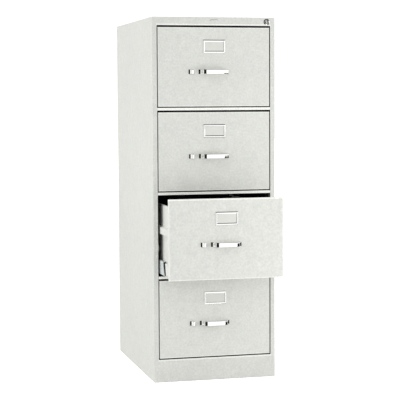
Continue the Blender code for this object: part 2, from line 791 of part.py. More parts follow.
def build_drawers():
    """Four drawers with their slides, latches and followers. Each drawer's pieces hang from one empty."""
    fixed = {
        "drawer_front": (drawer_front(), PAINT),
        "drawer_body": (drawer_body(), PAINT),
        "label_holder": (label_holder(), CHROME),
        "pull": (solid(pull()), CHROME),
    }
    latch = {"thumb_latch": (thumb_latch(), CHROME), "latch_bolt": (latch_bolt(), ZINC)}
    mids = {"left": mid_slide(-1), "right": mid_slide(1)}
    plate = follower()
    for number in range(1, DRAWERS + 1):
        out = OPEN_BY if number == OPEN_DRAWER else 0.0
        floor = opening_floor(number)
        drawer = body_empty(f"drawer_{number}", (0.0, FRONT - out, floor))
        for name, (mesh, look) in fixed.items():
            place(f"{name}_{number}", mesh, drawer, look)
        slider = body_empty(f"latch_{number}", parent=drawer)
        for name, (mesh, look) in latch.items():
            place(f"{name}_{number}", mesh, slider, look)
        pusher = body_empty(f"follower_{number}", parent=drawer)
        place(f"follower_{number}", plate, pusher, PRIMER)
        runners = body_empty(f"mid_slides_{number}", (0.0, FRONT - out / 2, floor))
        for word, mesh in mids.items():
            place(f"mid_slide_{word}_{number}", mesh, runners, ZINC)


CABINET, CUTTERS = clear_scene()
build_case()
build_lock()
build_drawers()
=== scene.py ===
"""The looks of the filing cabinet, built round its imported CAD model.

Metres, +Z up, the drawers open towards -Y. Places come from the frame, and what is measured here is
only the fine detail: crowned chrome, rolled edges, rollers, rivets, cards and every material.
"""

import json
import math

import bmesh
import bpy
from mathutils import Matrix, Vector


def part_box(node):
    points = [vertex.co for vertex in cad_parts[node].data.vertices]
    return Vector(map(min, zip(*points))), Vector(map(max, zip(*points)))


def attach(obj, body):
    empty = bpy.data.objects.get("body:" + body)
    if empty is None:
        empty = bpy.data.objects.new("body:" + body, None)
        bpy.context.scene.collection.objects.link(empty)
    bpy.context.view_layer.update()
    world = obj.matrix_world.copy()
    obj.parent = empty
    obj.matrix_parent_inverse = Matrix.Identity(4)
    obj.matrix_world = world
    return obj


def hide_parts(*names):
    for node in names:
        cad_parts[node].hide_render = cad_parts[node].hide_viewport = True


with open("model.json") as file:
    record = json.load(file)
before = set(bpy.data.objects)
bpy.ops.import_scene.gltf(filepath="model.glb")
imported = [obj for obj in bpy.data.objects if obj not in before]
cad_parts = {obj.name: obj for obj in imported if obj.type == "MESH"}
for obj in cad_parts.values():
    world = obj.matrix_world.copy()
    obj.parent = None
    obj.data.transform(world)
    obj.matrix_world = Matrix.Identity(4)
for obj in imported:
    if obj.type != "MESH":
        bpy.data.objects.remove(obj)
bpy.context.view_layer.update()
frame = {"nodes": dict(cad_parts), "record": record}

NODES = frame["nodes"]
SLOTS = {part["node"]: part["material_slot"] for part in frame["record"]["subparts"]}
DRAWERS = (1, 2, 3, 4)
SIDES = (("left", -1), ("right", 1))

# Gaps round a drawer's front, and how far a tray's side stands in from its opening
GAP_BESIDE = 0.003
GAP_UNDER = 0.0028
GAP_OVER = 0.0040
TRAY_INSET = 0.0179
SHEET = 0.001

# Planes of the case and of its openings, read from the frame
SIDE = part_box("side_panel_right")[1].x
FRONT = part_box("side_panel_right")[0].y
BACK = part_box("side_panel_right")[1].y
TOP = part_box("side_panel_right")[1].z
OPENING_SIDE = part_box("drawer_front_1")[1].x + GAP_BESIDE
OPENING_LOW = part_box("drawer_front_4")[0].z - GAP_UNDER
OPENING_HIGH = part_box("drawer_front_4")[1].z + GAP_OVER
OPENING_HEIGHT = OPENING_HIGH - OPENING_LOW
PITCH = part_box("drawer_front_1")[0].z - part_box("drawer_front_2")[0].z
HEAD = OPENING_HIGH + PITCH * (len(DRAWERS) - 1)
TRAY_SIDE = OPENING_SIDE - TRAY_INSET
UPRIGHT_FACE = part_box("front_upright_right")[0].y

# The camera, found from the case's corners
CAMERA_PLACE = Vector((-1.2496, -5.0871, 1.0213))
CAMERA_TURN = math.radians(14.1156)
CAMERA_TILT = math.radians(-4.1944)
CAMERA_ROLL = math.radians(-0.2969)
CAMERA_LENS = 121.97
CAMERA_SENSOR = 36.0

# How bright the studio is to paint, from each side, and to the camera. The fades are on a direction's
# y and z
WORLD_LEFT = 1.65
WORLD_RIGHT = 0.95
WORLD_FRONT = 0.735
WORLD_TOP = 0.80
WORLD_FLOOR = 0.6
WORLD_SEEN = 1.2
FRONT_FADE = (-1.0, 0.2)
FLOOR_FADE = (-0.35, 0.05)
TOP_FADE = (0.4, 1.0)

# The floor's lightness, and half its width
FLOOR_BOUNCE = 0.66
FLOOR_HALF = 30.0

# What metal reflects: white, with dark stretches. Angles run from straight in front to the right, in
# degrees, and rises are a direction's z
MIRRORED_WHITE = 1.25
MIRRORED_DARK = 0.02
GAP_START = (-46.0, -38.0)
GAP_END = (-13.0, -7.0)
LEFT_END = (-118.0, -108.0)
RIGHT_END = (80.0, 100.0)
RIGHT_END_DARK = 0.9
LOW_RIGHT_START = (38.0, 44.0)
LOW_RIGHT_END = (62.0, 70.0)
LOW_RIGHT_RISE = (-0.055, -0.02)
CEILING_RISE = (0.26, 0.46)

# Soft boxes that light the paint: place, target, size and power
RIGHT_BOX = ((1.35, -1.6, 0.50), (0.12, -0.34, 0.60), 0.7, 9.5)
LEFT_BOX = ((-3.2, -0.2, 0.9), (-0.2, 0.0, 0.7), 1.5, 22.0)

# Colours, and how light each painted part is beside the plain enamel
ENAMEL = (0.700, 0.708, 0.668)
# Dark charcoal, also painted as shade inside the case and on a tray's slide members
CHARCOAL = (0.016, 0.0165, 0.020)
ZINC = (0.78, 0.83, 0.82)
# Zinc darkened to near black for the case's slides: painted shade, as they stand in shadow
ZINC_PAINTED_SHADE = (0.020, 0.021, 0.023)
CHROME = (0.93, 0.93, 0.915)
CARD = (0.74, 0.74, 0.70)
NYLON = (0.78, 0.78, 0.75)
# Case, rail and drawer lightness make lighter and darker copies of the one enamel: painted light and shade
CASE_LIGHTNESS = 0.985
RAIL_LIGHTNESS = 1.07
DRAWER_LIGHTNESS = 1.02
DUST_LIGHTNESS = 2.1
CHROME_ROUGHNESS = 0.07

# Painted highlights beside the openings: lighter paint standing in for light on the rolled edges.
# RAIL_RIM and STILE_RIM say where the rim fades out
RIM_LIGHTNESS = 1.27
RAIL_RIM = (0.0046, 0.0068)
DRAWER_RIM = 0.0100
DRAWER_RIM_FADE = (0.0092, 0.0078)
RIM_END_FADE = 0.003
RIM_BEYOND = 0.007
STILE_RIM = (0.0030, 0.0050)
STILE_RIM_MIDDLE = 0.0015
STILE_RIM_SHARE = 0.25
FACE_DEPTH = 0.02

# Painted shade beside the gaps, paint darkened almost to black so the dark gaps read wider: on the lip,
# below and above an opening's top, and under its sill
LIP_LIGHTNESS = 0.06
LIP_BELOW_HEAD = 0.0062
LIP_ABOVE_HEAD = 0.0011
SILL_SHADE = 0.0013

# Where the dark charcoal is painted as shade: inside the case's skin, and behind a slanted line
# on a tray's slide members
SKIN = SHEET * 0.95
LIP_SKIN = SHEET * 0.6
MEMBER_PROUD = 0.0008
MEMBER_LEVELS = (0.010, 0.0565)
MASK_SLANT = -0.27
MASK_START = 0.078
STRIKE_MARGIN = 0.0004


class Graph:
    """A node tree, with short calls that add nodes and wire them."""

    def __init__(self, tree):
        self.tree = tree
        self.tree.nodes.clear()

    def add(self, kind, inputs=None, **settings):
        """Adds a node. inputs maps its sockets, by name or number, to values or to other sockets."""
        node = self.tree.nodes.new(kind)
        for key, value in settings.items():
            setattr(node, key, value)
        for key, value in (inputs or {}).items():
            if isinstance(value, bpy.types.NodeSocket):
                self.tree.links.new(value, node.inputs[key])
            else:
                node.inputs[key].default_value = value
        return node

    def math(self, operation, a, b=0.0, c=0.0):
        return self.add("ShaderNodeMath", {0: a, 1: b, 2: c}, operation=operation).outputs[0]

    def ramp(self, value, low, high, low_out=0.0, high_out=1.0):
        """Maps value from low..high to low_out..high_out, smoothly and held at the ends."""
        sockets = {"Value": value, "From Min": low, "From Max": high, "To Min": low_out, "To Max": high_out}
        node = self.add("ShaderNodeMapRange", sockets, interpolation_type="SMOOTHSTEP")
        return node.outputs["Result"]

    def between(self, value, low, high):
        """1 where value is between low and high, else 0."""
        over = self.math("GREATER_THAN", value, low)
        under = self.math("LESS_THAN", value, high)
        return self.math("MULTIPLY", over, under)

    def noise(self, place, scale, detail=2.0, roughness=0.5, low=0.0, high=1.0):
        """Noise of this many cycles to the metre, spread over low..high."""
        sockets = {"Vector": place, "Scale": scale, "Detail": detail, "Roughness": roughness}
        made = self.add("ShaderNodeTexNoise", sockets).outputs[0]
        sockets = {"Value": made, "From Min": 0.25, "From Max": 0.75, "To Min": low, "To Max": high}
        return self.add("ShaderNodeMapRange", sockets).outputs["Result"]

    def mix(self, factor, a, b, blend="MIX"):
        """Mixes two colours."""
        node = self.add("ShaderNodeMix", data_type="RGBA", blend_type=blend)
        for socket, value in zip((node.inputs[0], node.inputs[6], node.inputs[7]), (factor, a, b)):
            if isinstance(value, bpy.types.NodeSocket):
                self.tree.links.new(value, socket)
            else:
                socket.default_value = value
        return node.outputs[2]

    def tinted(self, colour, shade):
        """The colour, made lighter or darker by a number."""
        grey = self.add("ShaderNodeCombineColor", {0: shade, 1: shade, 2: shade}).outputs[0]
        return self.mix(1.0, (*colour, 1.0), grey, "MULTIPLY")


# --- Materials ---


def new_material(name):
    made = bpy.data.materials.new(name)
    made.use_nodes = True
    graph = Graph(made.node_tree)
    place = graph.add("ShaderNodeTexCoord").outputs["Object"]
    return made, graph, place


def finish_material(graph, bump, bump_depth, sockets):
    """Adds the shader, the bump and the output. sockets are the Principled shader's."""
    if bump is not None:
        relief = graph.add("ShaderNodeBump", {"Strength": 1.0, "Distance": bump_depth, "Height": bump})
        sockets = {**sockets, "Normal": relief.outputs[0]}
    shader = graph.add("ShaderNodeBsdfPrincipled", sockets)
    graph.add("ShaderNodeOutputMaterial", {"Surface": shader.outputs[0]})


def beside_openings(graph, parts):
    """How light the paint is beside the gaps round the drawers: painted highlights on the rims, standing in
    for light on the rolled edges, and in the case's face painted shade, paint darkened almost to black, on
    the lip over each drawer and along the rail's top under it. Also gives the height above the sill of the
    opening at that level."""
    across = graph.math("ABSOLUTE", parts[0])
    depth, height = parts[1], parts[2]
    beside = graph.math("SUBTRACT", across, OPENING_SIDE)
    level = graph.math("MODULO", graph.math("ADD", height, PITCH - OPENING_LOW), PITCH)
    from_sill = graph.math("MINIMUM", level, graph.math("SUBTRACT", PITCH, level))
    from_head = graph.math("ABSOLUTE", graph.math("SUBTRACT", level, OPENING_HEIGHT))
    nearest = graph.math("MINIMUM", from_sill, from_head)

    # The drawer front's top rim, the rail rims and the stile rims are painted highlights
    fade_low, fade_high = (OPENING_HEIGHT - below for below in DRAWER_RIM_FADE)
    drawer_top = graph.math("MULTIPLY", graph.between(level, OPENING_HEIGHT - DRAWER_RIM, OPENING_HEIGHT),
                            graph.ramp(level, fade_low, fade_high))
    spread = graph.math("MAXIMUM", graph.ramp(nearest, *RAIL_RIM, 1.0, 0.0), drawer_top)
    in_width = graph.ramp(beside, 0.0, RIM_END_FADE, 1.0, 0.0)
    in_height = graph.between(height, OPENING_LOW - RIM_BEYOND, HEAD + RIM_BEYOND)
    at_front = graph.math("MULTIPLY", in_height, graph.math("LESS_THAN", depth, FRONT + FACE_DEPTH))
    level_rim = graph.math("MULTIPLY", graph.math("MULTIPLY", spread, in_width), at_front)
    from_stile_rim = graph.math("ABSOLUTE", graph.math("ADD", beside, STILE_RIM_MIDDLE))
    stile_rim = graph.math("MULTIPLY", graph.ramp(from_stile_rim, *STILE_RIM, 1.0, 0.0), at_front)
    rim = graph.math("MAXIMUM", level_rim, graph.math("MULTIPLY", stile_rim, STILE_RIM_SHARE))

    # Painted shade on the lip over each drawer and under each sill
    lip = graph.between(level, OPENING_HEIGHT - LIP_BELOW_HEAD, OPENING_HEIGHT + LIP_ABOVE_HEAD)
    gap_shade = graph.math("MAXIMUM", lip, graph.math("GREATER_THAN", level, PITCH - SILL_SHADE))
    on_face = graph.math("MULTIPLY", at_front, graph.math("GREATER_THAN", depth, FRONT - FACE_DEPTH))
    within = graph.math("MULTIPLY", graph.math("LESS_THAN", beside, 0.0), on_face)
    gap_shade = graph.math("MULTIPLY", gap_shade, within)
    lightness = graph.math("MULTIPLY", graph.ramp(rim, 0.0, 1.0, 1.0, RIM_LIGHTNESS),
                           graph.ramp(gap_shade, 0.0, 1.0, 1.0, LIP_LIGHTNESS))
    return lightness, level


def facing_in(graph, parts):
    """1 on the side of a case sheet that faces into the case, where shade is painted, else 0."""
    within = graph.math("LESS_THAN", graph.math("ABSOLUTE", parts[0]), SIDE - SKIN)
    within = graph.math("MULTIPLY", within, graph.between(parts[1], FRONT + LIP_SKIN, BACK - LIP_SKIN))
    return graph.math("MULTIPLY", within, graph.math("LESS_THAN", parts[2], TOP - SKIN))


def on_shaded_members(graph, parts, level, start):
    """1 on a tray's slide members, behind a slanted line that begins at start, where shade is painted, else
    0.
    """
    proud = graph.math("GREATER_THAN", graph.math("ABSOLUTE", parts[0]), TRAY_SIDE + MEMBER_PROUD)
    members = graph.math("MULTIPLY", proud, graph.between(level, *MEMBER_LEVELS))
    slanted = graph.math("MULTIPLY_ADD", level, MASK_SLANT, parts[1])
    return graph.math("MULTIPLY", members, graph.math("GREATER_THAN", slanted, start))


def enamel(name, lightness=1.0, shaded_inside=False, shaded_behind=None):
    """Baked enamel: a fine orange peel, a faint mottle, and thin coat gloss. Where the inside is to be
    shaded, the side of a case sheet that faces into the case gets dark charcoal as painted shade. So do a
    tray's slide members behind the depth given, as painted shade there."""
    made, graph, place = new_material(name)
    parts = graph.add("ShaderNodeSeparateXYZ", {0: place}).outputs
    speckle = graph.noise(place, 140.0, 4.0, 0.7, 0.89, 1.11)
    mottle = graph.noise(place, 46.0, 3.0, 0.6, 0.955, 1.045)
    broad = graph.noise(place, 2.4, 1.0, 0.5, 0.985, 1.012)
    # Painted highlights and painted shade beside the openings
    highlight_and_shade, level = beside_openings(graph, parts)
    shade = graph.math("MULTIPLY", graph.math("MULTIPLY", speckle, mottle), broad)
    paint = graph.tinted((c * lightness for c in ENAMEL), graph.math("MULTIPLY", shade, highlight_and_shade))
    gloss = graph.noise(place, 60.0, 2.0, 0.5, 0.40, 0.50)
    # Dark charcoal painted as shade, inside the case or on a tray's slide members
    if shaded_inside or shaded_behind is not None:
        shade_mask = facing_in(graph, parts) if shaded_inside else on_shaded_members(graph, parts, level, shaded_behind)
        shade_colour = graph.tinted(CHARCOAL, graph.noise(place, 90.0, 3.0, 0.6, 0.8, 1.25))
        paint = graph.mix(shade_mask, paint, shade_colour)
        gloss = graph.math("MULTIPLY_ADD", shade_mask, 0.25, gloss)
    peel = graph.noise(place, 520.0, 2.0, 0.5)
    wave = graph.noise(place, 95.0, 1.0, 0.5, 0.0, 0.8)
    sockets = {"Base Color": paint, "Roughness": gloss, "Specular IOR Level": 0.42}
    finish_material(graph, graph.math("ADD", peel, wave), 0.00003, sockets)
    return made


def charcoal_matt(name="charcoal_dusty_and_shade", painted_before=None):
    """Matt charcoal with a dusty, slightly uneven face; on the parts inside the case it is painted shade.
    What stands in front of painted_before, along the case, has the cabinet's paint."""
    made, graph, place = new_material(name)
    cloud = graph.noise(place, 14.0, 4.0, 0.6)
    grain = graph.noise(place, 420.0, 2.0, 0.6)
    dusty = tuple(c * DUST_LIGHTNESS for c in CHARCOAL)
    colour = graph.mix(cloud, (*CHARCOAL, 1.0), (*dusty, 1.0))
    rough = graph.ramp(grain, 0.0, 1.0, 0.58, 0.74)
    if painted_before is not None:
        depth = graph.add("ShaderNodeSeparateXYZ", {0: place}).outputs[1]
        painted = graph.math("LESS_THAN", depth, painted_before)
        coat = graph.tinted(ENAMEL, graph.math("MULTIPLY_ADD", cloud, 0.06, 0.95))
        colour = graph.mix(painted, colour, coat)
    finish_material(graph, grain, 0.00004, {"Base Color": colour, "Roughness": rough})
    return made


def zinc(name="zinc_plate_clouded", plate=ZINC):
    """Bright zinc plate, with its bluish cast, cloudy crystals and drawn lines along the part."""
    made, graph, place = new_material(name)
    drawn = graph.add("ShaderNodeMapping", {"Vector": place, "Scale": (900.0, 6.0, 900.0)}).outputs[0]
    lines = graph.noise(drawn, 1.0, 3.0, 0.6)
    cloud = graph.noise(place, 120.0, 4.0, 0.6)
    colour = graph.tinted(plate, graph.math("MULTIPLY_ADD", cloud, 0.16, 0.86))
    rough = graph.math("ADD", graph.ramp(cloud, 0.0, 1.0, 0.26, 0.38), graph.math("MULTIPLY", lines, 0.08))
    finish_material(graph, lines, 0.00002, {"Base Color": colour, "Roughness": rough, "Metallic": 0.35})
    return made


def chrome():
    """Polished chrome with faint buffing marks and a breath of haze."""
    made, graph, place = new_material("bright_chrome_polished")
    buffed = graph.add("ShaderNodeMapping", {"Vector": place, "Scale": (60.0, 900.0, 900.0)}).outputs[0]
    marks = graph.noise(buffed, 1.0, 3.0, 0.6)
    haze = graph.noise(place, 45.0, 3.0, 0.5)
    rough = graph.ramp(haze, 0.0, 1.0, CHROME_ROUGHNESS * 0.7, CHROME_ROUGHNESS * 1.5)
    colour = graph.tinted(CHROME, graph.math("MULTIPLY_ADD", haze, 0.03, 0.97))
    finish_material(graph, marks, 0.000002, {"Base Color": colour, "Roughness": rough, "Metallic": 1.0})
    return made


def card_paper():
    """Plain card, with short fibres and a slightly yellowed tone."""
    made, graph, place = new_material("label_card_paper")
    sockets = {"Vector": place, "Scale": (500.0, 500.0, 2600.0)}
    stretched = graph.add("ShaderNodeMapping", sockets).outputs[0]
    fibre = graph.noise(stretched, 1.0, 3.0, 0.7)
    tone = graph.noise(place, 40.0, 2.0, 0.5, 0.97, 1.02)
    shade = graph.math("MULTIPLY", graph.math("MULTIPLY_ADD", fibre, 0.05, 0.965), tone)
    finish_material(graph, fibre, 0.00002, {"Base Color": graph.tinted(CARD, shade), "Roughness": 0.85})
    return made


def nylon():
    """Moulded nylon of the rollers."""
    made, graph, place = new_material("roller_nylon")
    grain = graph.noise(place, 700.0, 2.0, 0.5)
    colour = graph.tinted(NYLON, graph.noise(place, 150.0, 2.0, 0.5, 0.94, 1.02))
    rough = graph.ramp(grain, 0.0, 1.0, 0.42, 0.55)
    sockets = {"Base Color": colour, "Roughness": rough, "Subsurface Weight": 0.1, "Subsurface Scale": 0.002}
    finish_material(graph, grain, 0.00001, sockets)
    return made


# --- Making pieces ---

CAD_MERGE = 0.00002
CAD_SHARP = math.radians(36)


def shading_group():
    """A geometry group that joins a CAD mesh's triangles and shades it smooth, apart from its real edges."""
    tree = bpy.data.node_groups.new("shade_by_angle", "GeometryNodeTree")
    tree.interface.new_socket("Geometry", in_out="INPUT", socket_type="NodeSocketGeometry")
    tree.interface.new_socket("Geometry", in_out="OUTPUT", socket_type="NodeSocketGeometry")
    graph = Graph(tree)
    source = graph.add("NodeGroupInput").outputs[0]
    merged = graph.add("GeometryNodeMergeByDistance", {"Geometry": source, "Distance": CAD_MERGE})
    angle = graph.add("GeometryNodeInputMeshEdgeAngle").outputs[0]
    sharp = graph.add("FunctionNodeCompare", {0: angle, 1: CAD_SHARP}, operation="GREATER_THAN")
    normal = graph.add("GeometryNodeSetMeshNormal", {"Mesh": merged.outputs[0]}, mode="SHARPNESS")
    normal.inputs["Remove Custom"].default_value = True
    tree.links.new(sharp.outputs[0], normal.inputs["Edge Sharpness"])
    graph.add("NodeGroupOutput", {0: normal.outputs[0]})
    return tree


SHADING = shading_group()


def finish_cad(node, material):
    """Gives a CAD node that stays its material and smooth bends."""
    piece = NODES[node]
    for slot in piece.material_slots:
        slot.material = material
    shading = piece.modifiers.new("shading", "NODES")
    shading.node_group = SHADING
    weights = piece.modifiers.new("weights", "WEIGHTED_NORMAL")
    weights.keep_sharp = True


def mesh_piece(name, bm, material, body, replaces=(), smooth=35):
    """Makes a piece from a bmesh: it rides on a body and takes the material given. Bends of up to smooth
    degrees are shaded round."""
    bmesh.ops.recalc_face_normals(bm, faces=bm.faces)
    mesh = bpy.data.meshes.new(name)
    bm.to_mesh(mesh)
    bm.free()
    mesh.shade_smooth()
    mesh.set_sharp_from_angle(angle=math.radians(smooth))
    mesh.materials.append(material)
    piece = bpy.data.objects.new(name, mesh)
    bpy.context.scene.collection.objects.link(piece)
    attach(piece, body)
    if replaces:
        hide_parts(*replaces)


def loft(bm, rings, closed_path=False):
    """Joins closed rings of points with quads. An open path is capped at both ends."""
    verts = [[bm.verts.new(point) for point in ring] for ring in rings]
    pairs = list(zip(verts, verts[1:]))
    if closed_path:
        pairs.append((verts[-1], verts[0]))
    count = len(rings[0])
    for near, far in pairs:
        for i in range(count):
            j = (i + 1) % count
            bm.faces.new((near[i], near[j], far[j], far[i]))
    if not closed_path:
        bm.faces.new(verts[0][::-1])
        bm.faces.new(verts[-1])


def rounded_box(bm, low, high, ease):
    """Adds a block with its edges eased."""
    low, high = Vector(low), Vector(high)
    place = Matrix.Translation((low + high) / 2) @ Matrix.Diagonal((*(high - low), 1.0))
    made = bmesh.ops.create_cube(bm, size=1.0, matrix=place)["verts"]
    edges = list(dict.fromkeys(edge for vert in made for edge in vert.link_edges))
    bmesh.ops.bevel(bm, geom=edges, offset=ease, segments=2, profile=0.5, affect="EDGES")


def turned(bm, profile, place, steps=48, closed_path=False):
    """Adds a turned solid. profile lists (distance along the axis, radius), and place puts +Z on the axis. A
    closed path makes a ring, with a hole through it."""
    rings = []
    for along, radius in profile:
        ring = []
        for i in range(steps):
            angle = 2 * math.pi * i / steps
            ring.append(place @ Vector((radius * math.cos(angle), radius * math.sin(angle), along)))
        rings.append(ring)
    loft(bm, rings, closed_path)


def squared_circle(count, power):
    """Points round a circle of radius 1. A power under 1 pulls it out towards a square."""
    made = []
    for i in range(count):
        angle = 2 * math.pi * i / count
        c, s = math.cos(angle), math.sin(angle)
        made.append((math.copysign(abs(c) ** power, c), math.copysign(abs(s) ** power, s)))
    return made


def facing_front(x, y, z):
    """A frame whose +Z points out of the cabinet's front, at this place."""
    return Matrix.Translation((x, y, z)) @ Matrix.Rotation(math.radians(90), 4, "X")


def facing_back(x, y, z):
    """A frame whose +Z points out of the cabinet's back, at this place."""
    return Matrix.Translation((x, y, z)) @ Matrix.Rotation(math.radians(-90), 4, "X")


def facing_side(x, y, z, side):
    """A frame whose +Z points out to the left (side -1) or the right (side 1)."""
    return Matrix.Translation((x, y, z)) @ Matrix.Rotation(math.radians(90) * side, 4, "Y")


# --- Chrome on the drawers ---

# The most of a straight stretch that a rounded corner may use up
CORNER_SHARE = 0.48
# The left half of the pull, seen from above: distance in from its end, and share of its reach
BOW_CORNERS = ((0.0, 0.0), (0.0090, 0.103), (0.0118, 0.845), (0.0240, 0.979))
BOW_RADII = (0.0050, 0.0040, 0.0300)
BOW_MIDDLE_RADIUS = 0.2
BOW_STEPS = 10
# The strap's section: share of its half height, and share of its thickness behind the crowned face
STRAP_SECTION = ((-1.0, 0.50), (-0.98, 0.26), (-0.93, 0.10), (-0.84, 0.025), (-0.50, 0.006), (0.0, 0.0),
                 (0.50, 0.006), (0.84, 0.025), (0.93, 0.10), (0.98, 0.26), (1.0, 0.50), (0.96, 0.90),
                 (0.88, 1.0), (0.0, 1.0), (-0.88, 1.0), (-0.96, 0.90))
PULL_STRAP = 0.0034


def filleted(corners, radii, steps):
    """The polyline with a curve in place of each inner corner, each with its own radius."""
    made = [corners[0]]
    for before, corner, after, radius in zip(corners, corners[1:], corners[2:], radii):
        to_before = (before - corner).normalized()
        to_after = (after - corner).normalized()
        half = to_before.angle(to_after) / 2
        reach = min(radius / math.tan(half), (before - corner).length * CORNER_SHARE,
                    (after - corner).length * CORNER_SHARE)
        start, end = corner + to_before * reach, corner + to_after * reach
        for i in range(steps + 1):
            t = i / steps
            made.append(start * (1 - t) ** 2 + corner * 2 * t * (1 - t) + end * t * t)
    made.append(corners[-1])
    return made


def bow_pull(number, material):
    """Bow handle: a strap with a crowned face and rolled edges, bent to a flat-fronted bow on flared feet."""
    low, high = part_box(f"pull_{number}")
    centre = (low + high) / 2
    half = (high.x - low.x) / 2
    reach = high.y - low.y
    tall = (high.z - low.z) / 2
    corners = [Vector((-half + inset, -out * reach)) for inset, out in BOW_CORNERS]
    corners += [Vector((0.0, -reach))] + [Vector((-point.x, point.y)) for point in reversed(corners)]
    path = filleted(corners, BOW_RADII + (BOW_MIDDLE_RADIUS,) + BOW_RADII[::-1], BOW_STEPS)
    rings = []
    for i, point in enumerate(path):
        run = path[min(i + 1, len(path) - 1)] - path[max(i - 1, 0)]
        normal = Vector((run.y, -run.x)).normalized()
        ring = []
        for across, depth in STRAP_SECTION:
            place = point - normal * depth * PULL_STRAP
            ring.append(Vector((centre.x + place.x, high.y + min(place.y, 0.0), centre.z + across * tall)))
        rings.append(ring)
    bm = bmesh.new()
    loft(bm, rings)
    mesh_piece(f"bow_pull_{number}", bm, material, f"drawer_{number}",
               [f"pull_{number}"], 40)


THUMB_STRAP = 0.0024
THUMB_RADII = (0.0030, 0.0026, 0.0010)
THUMB_STEPS = 6
THUMB_LIFT = 0.0004
# From the piece's lower edge to its upper one: share of its half height, and how far it is drawn in
THUMB_EDGES = ((-1.0, 0.0008), (-0.94, 0.0002), (-0.86, 0.0), (0.86, 0.0), (0.94, 0.0002), (1.0, 0.0008))
STEM_START = 0.0077
STEM_WIDTH = 0.0056
STEM_HALF_HEIGHT = 0.0033
STEM_OVERLAP = 0.0006
STEM_EASE = 0.0004


def thumb_piece(number, material):
    """Thumb latch: a pressed chrome hook with a sloping back, on the stem that goes through the drawer."""
    low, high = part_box(f"thumb_latch_{number}")
    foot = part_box(f"drawer_front_{number}")[0].y - THUMB_LIFT
    z = (high.z + low.z) / 2
    tall = (high.z - low.z) / 2
    left, right, front = low.x, high.x, low.y
    corners = [Vector((left, foot)), Vector((left + 0.0066, foot - 0.0023)), Vector((left + 0.0084, front)),
               Vector((right, front)), Vector((right, front + THUMB_STRAP))]
    outline = filleted(corners, THUMB_RADII, THUMB_STEPS)
    outline += [Vector((left + 0.0112, front + THUMB_STRAP)), Vector((left + 0.0094, foot))]
    middle = sum(outline, Vector((0, 0))) / len(outline)
    rings = []
    for level, inset in THUMB_EDGES:
        ring = []
        for point in outline:
            place = point + (middle - point).normalized() * inset
            ring.append(Vector((place.x, min(place.y, foot), z + level * tall)))
        rings.append(ring)
    bm = bmesh.new()
    loft(bm, rings)
    stem_x = left + STEM_START
    rounded_box(bm, (stem_x, front + THUMB_STRAP - STEM_OVERLAP, z - STEM_HALF_HEIGHT),
                (stem_x + STEM_WIDTH, high.y, z + STEM_HALF_HEIGHT), STEM_EASE)
    mesh_piece(f"thumb_piece_{number}", bm, material, f"latch_{number}",
               [f"thumb_latch_{number}"], 40)


# The label holder's border from its outer edge in: share of its width, and share of its depth
FRAME_SECTION = ((0.0, 0.0), (0.0, 0.55), (0.01, 0.58), (0.30, 0.96), (0.32, 0.985), (0.35, 1.0), (0.65, 1.0),
                 (0.68, 0.985), (0.70, 0.96), (0.99, 0.58), (1.0, 0.55), (1.0, 0.04), (0.97, 0.0))
FRAME_BORDER = 0.0075
FRAME_CORNER = 0.0016
FRAME_CORNER_TAPER = 0.8
FRAME_LEAST_CORNER = 0.0004
FRAME_CORNER_STEPS = 4


def label_frame(number, material):
    """Label holder: a pressed frame with a flat face between sloping edges, mitred round its window."""
    low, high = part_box(f"label_holder_{number}")
    depth = high.y - low.y
    middle, half = (low + high) / 2, (high - low) / 2
    rings = []
    for quarter, (across, up) in enumerate(((1, 1), (-1, 1), (-1, -1), (1, -1))):
        for step in range(FRAME_CORNER_STEPS + 1):
            angle = math.radians(90 * quarter + 90 * step / FRAME_CORNER_STEPS)
            ring = []
            for inward, out in FRAME_SECTION:
                inset = inward * FRAME_BORDER
                radius = max(FRAME_CORNER - inset * FRAME_CORNER_TAPER, FRAME_LEAST_CORNER)
                x = middle.x + across * (half.x - inset - radius) + radius * math.cos(angle)
                z = middle.z + up * (half.z - inset - radius) + radius * math.sin(angle)
                ring.append(Vector((x, high.y - out * depth, z)))
            rings.append(ring)
    bm = bmesh.new()
    loft(bm, rings, closed_path=True)
    mesh_piece(f"label_frame_{number}", bm, material, f"drawer_{number}",
               [f"label_holder_{number}"], 50)


CARD_BORDER = 0.0035
CARD_THICKNESS = 0.00035
CARD_BOW = 0.0004
CARD_OFF_DRAWER = 0.0002
CARD_RISE = 0.001
CARD_COLUMNS = 16


def label_card(number, material):
    """Blank card, standing in the holder with a slight bow."""
    low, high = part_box(f"label_holder_{number}")
    middle = (low + high) / 2
    half_x = (high.x - low.x) / 2 - CARD_BORDER
    half_z = (high.z - low.z) / 2 - CARD_BORDER
    bottom, top = middle.z - half_z, middle.z + half_z + CARD_RISE
    rings = []
    for i in range(CARD_COLUMNS + 1):
        u = -1 + 2 * i / CARD_COLUMNS
        x = middle.x + u * half_x
        back = high.y - CARD_OFF_DRAWER - CARD_BOW * (1 - u * u)
        front = back - CARD_THICKNESS
        rings.append([Vector((x, back, bottom)), Vector((x, back, top)), Vector((x, front, top)),
                      Vector((x, front, bottom))])
    bm = bmesh.new()
    loft(bm, rings)
    mesh_piece(f"label_card_{number}", bm, material, f"drawer_{number}")


# --- Lock, badge and filled joints on the case's face ---

BARREL_RADIUS = 0.0094
PLUG_HOLE = 0.0064
LOCK_STEPS = 64
CORE_FACE = -0.0001
CORE_RIM = CORE_FACE - 0.0001
CORE_GROOVE = CORE_FACE - 0.0004
KEYWAY_HALF_WIDTH = 0.0006
KEYWAY_HALF_HEIGHT = 0.0032
# The lip round the keyway: how much wider than the keyway, and how far out of the core's face
KEYWAY_LIP = ((0.0016, -0.0002), (0.0014, 0.0003), (0.0002, 0.0005), (0.0, -0.0001))


